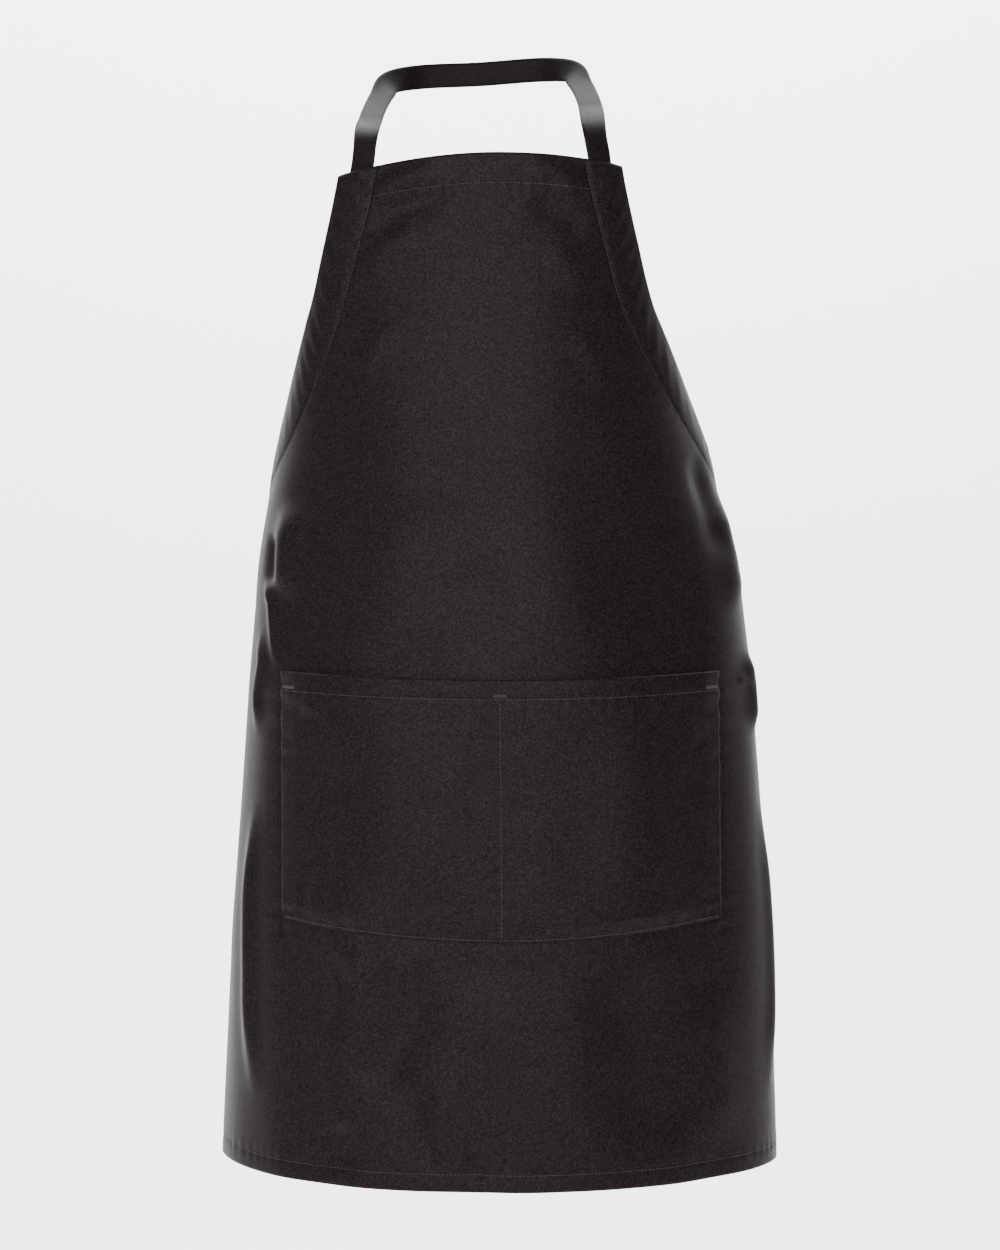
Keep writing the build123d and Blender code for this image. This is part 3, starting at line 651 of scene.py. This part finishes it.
SIDES = {"left": -1, "right": 1}
HEM_OUT = -CLOTH - SEAM_GAP
long_count, short_count = ((140, 6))

# ------------------------------------------------------------------ hems behind the panel
casing_line = inset_line(CASING + 1.0)
hem_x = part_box("bib_top_hem")[1][0] / MM
x = np.linspace(-hem_x, hem_x, long_count)[None, :]
down = np.linspace(0, BIB_HEM, short_count)[:, None]
z = crown_height(x) - down
limit = angle_at(np.interp(-z, -casing_line[:, 1], casing_line[:, 0]), z)
angle = np.clip(angle_of(x, z), -limit, limit)
patch("bib_top_hem_cloth", angle, z, HEM_OUT, ["bib_top_hem"])

across = np.linspace(-1, 1, 2 * long_count)[None, :]
up = np.linspace(BOTTOM_HEM, 0.3, short_count)[:, None]
z = BOTTOM + up + 0 * across
for _ in range(6):
    angle = across * (edge_angle(z) - 0.2)
    z = hem_height(AXIS_Y - half_size(z)[1] * np.cos(np.radians(angle))) + up
patch("bottom_hem_cloth", angle, z, HEM_OUT, ["bottom_hem"])

for name, side in SIDES.items():
    z = np.linspace(CORNER_Z - CASING - 1, BOTTOM + BOTTOM_HEM + 3, long_count)[:, None]
    inset = np.linspace(SIDE_HEM, 0.3, short_count)[None, ::side]
    z = z + 0 * inset
    angle = side * angle_at(arc(edge_angle(z), z) - inset, z)
    patch(f"{name}_side_hem_cloth", angle, z, HEM_OUT, [f"{name}_side_hem"])

# ------------------------------------------------------------------ casings behind the armholes
for name, side in SIDES.items():
    insets = np.linspace(0.5, CASING - 0.5, 26)[::-side]
    lines = np.stack([inset_line(inset, 2 * long_count) for inset in insets], axis=1)
    angle = side * angle_at(lines[..., 0], lines[..., 1])
    hollow = TUNNEL_DEPTH * smooth(np.minimum(insets - 0.5, CASING - 0.5 - insets) / TUNNEL_SIDE)
    out = HEM_OUT - hollow[None, :]
    patch(f"{name}_casing_cloth", angle, lines[..., 1], out, [f"{name}_casing"])

# ------------------------------------------------------------------ pocket
across = np.linspace(-1, 1, 180)[None, :]
down = np.linspace(0, 1, 120)[:, None]
x = across * POCKET_HALF
mouth, bottom = pocket_edge(x, "mouth"), pocket_edge(x, "bottom")
z = mouth + (bottom - mouth) * down
angle = angle_of(x, z)
pocket_flat = np.stack([arc(angle, z), z], axis=-1)
pocket = grid_mesh("pocket_cloth", on_pocket(angle, z), pocket_flat, [SATIN, SATIN_BACK])
dress(
    pocket,
    "apron",
    ["pocket_panel", "pocket_bottom_fold", "pocket_left_fold", "pocket_right_fold"],
)
x = np.linspace(-1, 1, long_count)[None, :] * (POCKET_HALF - 3)
z = pocket_edge(x, "mouth") - np.linspace(0.3, MOUTH_HEM, short_count)[:, None]
angle = angle_of(x, z)
mouth_hem = grid_mesh(
    "pocket_mouth_hem_cloth",
    on_pocket(angle, z, -CLOTH - 0.02),
    np.stack([arc(angle, z), z], axis=-1),
    [SATIN_BACK],
    thickness=0.25,
)
dress(mouth_hem, "apron", ["pocket_mouth_hem"])


# ------------------------------------------------------------------ strap
def curve_through(points, count):
    """A smooth line through points, with its places spread evenly."""
    points = np.asarray(points, float)
    run = np.concatenate([[0], np.cumsum(np.linalg.norm(np.diff(points, axis=0), axis=1))])
    slope = np.gradient(points, run, axis=0)
    at = np.linspace(0, run[-1], count)
    i = np.clip(np.searchsorted(run, at) - 1, 0, len(run) - 2)
    span = (run[i + 1] - run[i])[:, None]
    t = (at - run[i])[:, None] / span
    return (
        points[i] * (2 * t**3 - 3 * t**2 + 1)
        + slope[i] * span * (t**3 - 2 * t**2 + t)
        + points[i + 1] * (3 * t**2 - 2 * t**3)
        + slope[i + 1] * span * (t**3 - t**2)
    )


def tape(name, centres, across, width=STRAP_WIDTH, thick=STRAP_THICK, slant=0.0):
    """A length of strap from its middle line and the directions across it, in millimetres."""
    tangent = np.gradient(centres, axis=0)
    tangent /= np.linalg.norm(tangent, axis=1)[:, None]
    across = across - tangent * (across * tangent).sum(axis=1)[:, None]
    across /= np.linalg.norm(across, axis=1)[:, None]
    normal = np.cross(tangent, across)
    share = np.linspace(-1, 1, 9)
    run = np.concatenate([[0], np.cumsum(np.linalg.norm(np.diff(centres, axis=0), axis=1))])
    last = smooth((run - run[-1] + 3 * abs(slant) + 0.1) / (3 * abs(slant) + 0.1))
    shift = slant * last[:, None] * share[None, :] / 2
    cup = 0.35 * (1 - share**2)
    points = (
        centres[:, None]
        + across[:, None] * share[None, :, None] * width / 2
        + tangent[:, None] * shift[..., None]
        + normal[:, None] * cup[None, :, None]
    )
    flat = np.stack([share[None, :] * width / 2 + 0 * run[:, None], run[:, None] + shift], axis=-1)
    return grid_mesh(name, points * MM, flat, [TAPE], thickness=thick, offset=0.0)


def outward_at(angle, z):
    """Directions out of the cloth."""
    wide, deep = half_size(z)
    turn = np.radians(angle)
    return np.stack([np.sin(turn) / wide, -np.cos(turn) / deep, 0 * turn], axis=-1)


STRAP_LINE = inset_line(STRAP_INSET + STRAP_WIDTH / 2, 120, above=18.0)
strap_angle = angle_at(STRAP_LINE[:, 0], STRAP_LINE[:, 1])


def strap_place(side, keep):
    """Points of the strap's middle line inside one casing, and the directions across it."""
    angle, z = side * strap_angle[keep], STRAP_LINE[keep, 1]
    centre = on_panel(angle, z, STRAP_OFFSET) / MM
    return centre, side * np.cross(outward_at(angle, z), np.gradient(centre, axis=0))


pivot_z = BIB_TOP + NECK_PIVOT_RISE
leg = (STRAP_LINE[:, 1] > BIB_TOP - LEG_DEPTH) & (STRAP_LINE[:, 1] < pivot_z + 4)
neck_shift = float(sway(np.array(-60.0)))
halves = {}
for name, side in SIDES.items():
    centre, width = strap_place(side, leg)
    bend = np.array(NECK_POINTS, float) * (side, 1, 1)
    bend[:, 2] += 0.06 * bend[:, 0]
    bend[:, 0] += neck_shift
    turn = smooth(np.linspace(0, 1.6, len(bend)) - 0.45)[:, None]
    bend_width = turn * width[0] / np.linalg.norm(width[0]) + (1 - turn) * np.array([0, 0, 1.0])
    halves[name] = np.vstack([bend, centre[::4]]), np.vstack([bend_width, width[::4]])
line = np.vstack([halves["left"][0][::-1], halves["right"][0][1:]])
widths = np.vstack([halves["left"][1][::-1], halves["right"][1][1:]])
widths /= np.linalg.norm(widths, axis=1)[:, None]
count = 320
both = curve_through(np.hstack([line, 60 * widths]), count)
neck = tape("neck_strap", both[:, :3], both[:, 3:])
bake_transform(neck)
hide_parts("left_strap_leg", "right_strap_leg", "neck_loop")

tie_z = CORNER_Z - STRAP_INSET - STRAP_WIDTH / 2
below = STRAP_LINE[:, 1] < BIB_TOP - LEG_DEPTH - 7
for name, side in SIDES.items():
    centre, width = strap_place(side, below & (strap_angle < 112))
    angle = side * np.linspace(116, 174, 16)
    z = np.full(angle.shape, tie_z)
    behind = place(angle, z, STRAP_OFFSET) / MM
    behind[:, 0] -= sway(z) * smooth((np.abs(angle) - 117) / 40)
    up = np.tile([0, 0, 1.0], (len(angle), 1))
    width = width / np.linalg.norm(width, axis=1)[:, None]
    line = np.vstack([centre[::3], behind])
    widths = np.vstack([width[::3], up])
    both = curve_through(np.hstack([line, 60 * widths]), count)
    tie = tape(f"{name}_waist_strap", both[:, :3], both[:, 3:])
    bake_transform(tie)
    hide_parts(f"{name}_casing_strap", f"{name}_waist_tie")

# ------------------------------------------------------------------ knot and bow
low, high = (np.array(corner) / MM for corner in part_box("tie_knot"))
centre, half = (low + high) / 2, (high - low) / 2
turn = np.linspace(0, 2 * math.pi, 48, endpoint=False)[:, None]
rise = np.linspace(-math.pi / 2 + 0.02, math.pi / 2 - 0.02, 28)[None, :]
wrap = 1 - 0.06 * bump(rise - 0.35 * np.sin(turn), 0.16) - 0.03 * np.sin(3 * turn + 4 * rise) ** 2
radius = np.cos(rise) ** 0.6 * wrap
points = np.stack(
    [half[0] * radius * np.cos(turn), half[1] * np.sin(rise) + 0 * turn, half[2] * radius * np.sin(turn)],
    axis=-1,
)
flat = np.stack([12 * turn + 0 * rise, 10 * rise + 0 * turn], axis=-1)
knot = grid_mesh("tie_knot_cloth", (centre + points) * MM, flat, [TAPE], thickness=0.8, closed=True)
dress(knot, "waist_tie", ["tie_knot"])

for name, side in SIDES.items():
    low, high = (np.array(corner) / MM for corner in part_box(f"{name}_bow_loop"))
    middle_y = (low[1] + high[1]) / 2
    droop = math.radians(BOW_DROOP)
    outwards = np.array([side * math.cos(droop), 0, -math.sin(droop)])
    upwards = np.array([side * math.sin(droop), 0, math.cos(droop)])
    depth = BOW_BULGE / 2 - STRAP_THICK / 2
    outline = [(8, 0.9), (30, 2.4), (56, depth), (72, depth * 0.85), (BOW_LENGTH - 0.5, 0)]
    outline += [(reach, -rise) for reach, rise in outline[-2::-1]]
    line = [(0, middle_y, tie_z) + outwards * reach + np.array([0, rise, 0]) for reach, rise in outline]
    line = curve_through(line, 70)
    loop = tape(f"{name}_bow_cloth", line, np.tile(upwards, (len(line), 1)))
    dress(loop, f"{name}_bow_loop", [f"{name}_bow_loop"])

    low, high = (np.array(corner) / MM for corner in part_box(f"{name}_tie_tail"))
    lean = math.radians(TAIL_LEAN)
    reach = np.linspace(9, TAIL_LENGTH + TAIL_POINT / 2, 80)[:, None]
    down = np.array([side * math.sin(lean), 0, -math.cos(lean)])
    line = (0, (low[1] + high[1]) / 2, tie_z) + reach * down
    line[:, 0] += side * 3 * np.sin(reach[:, 0] / 50)
    sideways = np.tile([math.cos(lean), 0, side * math.sin(lean)], (len(line), 1))
    tail = tape(f"{name}_tail_cloth", line, sideways, slant=TAIL_POINT)
    dress(tail, f"{name}_tie_tail", [f"{name}_tie_tail"])


# ------------------------------------------------------------------ stitches
def stitches(name, line, outward, nodes, pitch=3.0, length=2.3, thick=0.34, upright=False):
    """A row of single stitches along a line of points, lying on the side that outward points to."""
    run = np.concatenate([[0], np.cumsum(np.linalg.norm(np.diff(line, axis=0), axis=1))])
    at = np.arange(pitch * MM / 2, run[-1], pitch * MM)
    centre, ahead, behind, normal = (
        np.stack([np.interp(place_at, run, column[:, k]) for k in range(3)], axis=1)
        for place_at, column in (
            (at, line),
            (at + 0.5 * MM, line),
            (at - 0.5 * MM, line),
            (at, outward),
        )
    )
    tangent = ahead - behind
    tangent /= np.linalg.norm(tangent, axis=1)[:, None]
    normal /= np.linalg.norm(normal, axis=1)[:, None]
    aside = np.cross(normal, tangent)
    if upright:
        tangent, aside = aside, tangent
    rings = np.array([(-1.0, 0.25), (-0.8, 0.8), (0.0, 1.0), (0.8, 0.8), (1.0, 0.25)])
    corners = np.radians(np.arange(6) * 60.0)
    offsets = (
        tangent[:, None, None] * (rings[:, 0] * length / 2)[None, :, None, None]
        + aside[:, None, None] * (rings[:, 1, None] * np.cos(corners) * thick)[None, :, :, None]
        + normal[:, None, None] * (rings[:, 1, None] * np.sin(corners) * thick * 0.8)[None, :, :, None]
    )
    points = (centre[:, None, None] + offsets * MM).reshape(-1, 3)
    ring, corner = np.meshgrid(np.arange(len(rings) - 1), np.arange(6), indexing="ij")
    after = (corner + 1) % 6
    faces = np.stack(
        [ring * 6 + corner, ring * 6 + after, (ring + 1) * 6 + after, (ring + 1) * 6 + corner], axis=-1
    ).reshape(-1, 4)
    caps = np.array([[5, 4, 3, 2, 1, 0], np.arange(6) + 6 * (len(rings) - 1)])
    starts = np.arange(len(at))[:, None, None] * 6 * len(rings)
    mesh = bpy.data.meshes.new(name)
    quads = (faces[None] + starts).reshape(-1, 4).tolist()
    ends = (caps[None] + starts).reshape(-1, 6).tolist()
    mesh.from_pydata(points.tolist(), [], quads + ends)
    mesh.shade_smooth()
    mesh.materials.append(THREAD)
    obj = bpy.data.objects.new(name, mesh)
    bpy.context.scene.collection.objects.link(obj)
    return dress(obj, "apron", nodes)


def row(name, angle, z, nodes, surface=on_panel, out=0.12, **look):
    """A row of stitches on the panel or the pocket."""
    angle, z = np.broadcast_arrays(np.asarray(angle, float), np.asarray(z, float))
    return stitches(name, surface(angle, z, out), outward_at(angle, z), nodes, **look)


x = np.linspace(*(corner[0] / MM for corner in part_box("bib_hem_thread")), 120)
z = crown_height(x) - BIB_HEM + STITCH_INSET
row("bib_hem_stitches", angle_of(x, z), z, ["bib_hem_thread"])

across = np.linspace(-0.993, 0.993, 400)
z = np.full(across.shape, BOTTOM + BOTTOM_HEM - STITCH_INSET)
for _ in range(6):
    angle = across * edge_angle(z)
    z = hem_height(AXIS_Y - half_size(z)[1] * np.cos(np.radians(angle))) + BOTTOM_HEM - STITCH_INSET
row("bottom_hem_stitches", angle, z, ["bottom_hem_thread"])

for name, side in SIDES.items():
    z = np.linspace(CORNER_Z - CASING - 1, BOTTOM + BOTTOM_HEM, 300)
    angle = side * angle_at(arc(edge_angle(z), z) - SIDE_HEM + STITCH_INSET, z)
    row(f"{name}_side_hem_stitches", angle, z, [f"{name}_side_hem_thread"])
    angle = side * angle_at(CASING_LINE[:, 0], CASING_LINE[:, 1])
    row(f"{name}_casing_stitches", angle, CASING_LINE[:, 1], [f"{name}_casing_thread"])

x = np.linspace(-POCKET_HALF + 2, POCKET_HALF - 2, 300)
for name, which, inset in (("mouth", "mouth", STITCH_INSET - MOUTH_HEM), ("bottom", "bottom", 2.0)):
    z = pocket_edge(x, which) + inset
    row(f"pocket_{name}_stitches", angle_of(x, z), z, [f"pocket_{name}_thread"], on_pocket)
for name, x in (("left", 0.8 - POCKET_HALF), ("right", POCKET_HALF - 0.8), ("divider", 0.0)):
    top, bottom = pocket_edge(x, "mouth") - MOUTH_HEM - 1, pocket_edge(x, "bottom") + 3.5
    z = np.linspace(top, bottom, 160)
    row(f"pocket_{name}_stitches", angle_of(x, z), z, [f"pocket_{name}_thread"], on_pocket)

look = {"pitch": 0.62, "length": 2.6, "thick": 0.36, "upright": True}
for number, x in enumerate((7 - POCKET_HALF, 0.0, POCKET_HALF - 7), 1):
    span = np.linspace(x - 5, x + 5, 24)
    z = pocket_edge(span, "mouth") - MOUTH_HEM + 4.2
    row(f"bartack_{number}", angle_of(span, z), z, ["pocket_bartacks"], on_pocket, 0.25, **look)

# ------------------------------------------------------------------ label inside the bib
low, high = (np.array(corner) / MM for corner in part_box("care_label"))
x = np.linspace(low[0], high[0], 24)[None, :]
z = np.linspace(high[2], low[2], 24)[:, None] + 0 * x
label = patch("care_label_cloth", angle_of(x, z), z, HEM_OUT, ["care_label"], LABEL)
inset = STITCH_INSET
corners = [
    (low[0] + inset, high[2] - inset),
    (high[0] - inset, high[2] - inset),
    (high[0] - inset, low[2] + inset),
    (low[0] + inset, low[2] + inset),
    (low[0] + inset, high[2] - inset),
]
frame_x, frame_z = (np.interp(np.linspace(0, 4, 161), range(5), column) for column in zip(*corners))
frame_angle = angle_of(frame_x, frame_z)
line = on_panel(frame_angle, frame_z, HEM_OUT - CLOTH - 0.1)
stitches("care_label_stitches", line, -outward_at(frame_angle, frame_z), ["care_label_thread"])


# ------------------------------------------------------------------ the stage
def stage():
    """A pale sweep of floor and wall."""
    floor, back, turn = -1.55, 3.2, 1.2
    profile = [(-4.0, floor), (back - turn, floor)]
    for step in range(1, 13):
        corner = math.radians(90 * step / 12)
        profile.append((back - turn + turn * math.sin(corner), floor + turn - turn * math.cos(corner)))
    profile.append((back, 4.0))
    points = np.array([[(x, y, z) for x in (-6.0, 6.0)] for y, z in profile])
    material, tree, shader = new_material("stage_paper")
    shader.inputs["Base Color"].default_value = (0.91, 0.91, 0.91, 1)
    shader.inputs["Roughness"].default_value = 0.9
    sweep = grid_mesh("stage_sweep", points, points[..., :2] * 1000, [material], thickness=0)


def area_light(name, place_at, look_at, size, power, tint=(1, 1, 1)):
    """A soft box that points at something."""
    data = bpy.data.lights.new(name, "AREA")
    data.shape = "RECTANGLE"
    data.size, data.size_y = size
    data.energy = power
    data.color = tint
    light = bpy.data.objects.new(name, data)
    light.location = place_at
    light.rotation_euler = (Vector(look_at) - Vector(place_at)).to_track_quat("-Z", "Y").to_euler()
    bpy.context.scene.collection.objects.link(light)


stage()
centre = (0, -0.1, -0.45)
area_light("key", (-0.25, -3.0, 0.35), centre, (0.9, 2.2), 105)
area_light("fill", (-2.2, -1.6, 0.3), centre, (0.8, 1.8), 12)
area_light("backdrop", (0, 1.2, 1.8), (0, 3.2, -0.4), (5.0, 1.5), 560)
world = bpy.data.worlds.new("studio")
world.use_nodes = True
world.node_tree.nodes["Background"].inputs["Color"].default_value = (1, 1, 1, 1)
world.node_tree.nodes["Background"].inputs["Strength"].default_value = 0.22
bpy.context.scene.world = world

camera_data = bpy.data.cameras.new("camera")
camera_data.lens = 86.8
camera = bpy.data.objects.new("camera", camera_data)
camera.location = (0.0073, -2.380, -0.435)
camera.rotation_euler = (math.radians(90), 0, 0)
bpy.context.scene.collection.objects.link(camera)
bpy.context.scene.camera = camera
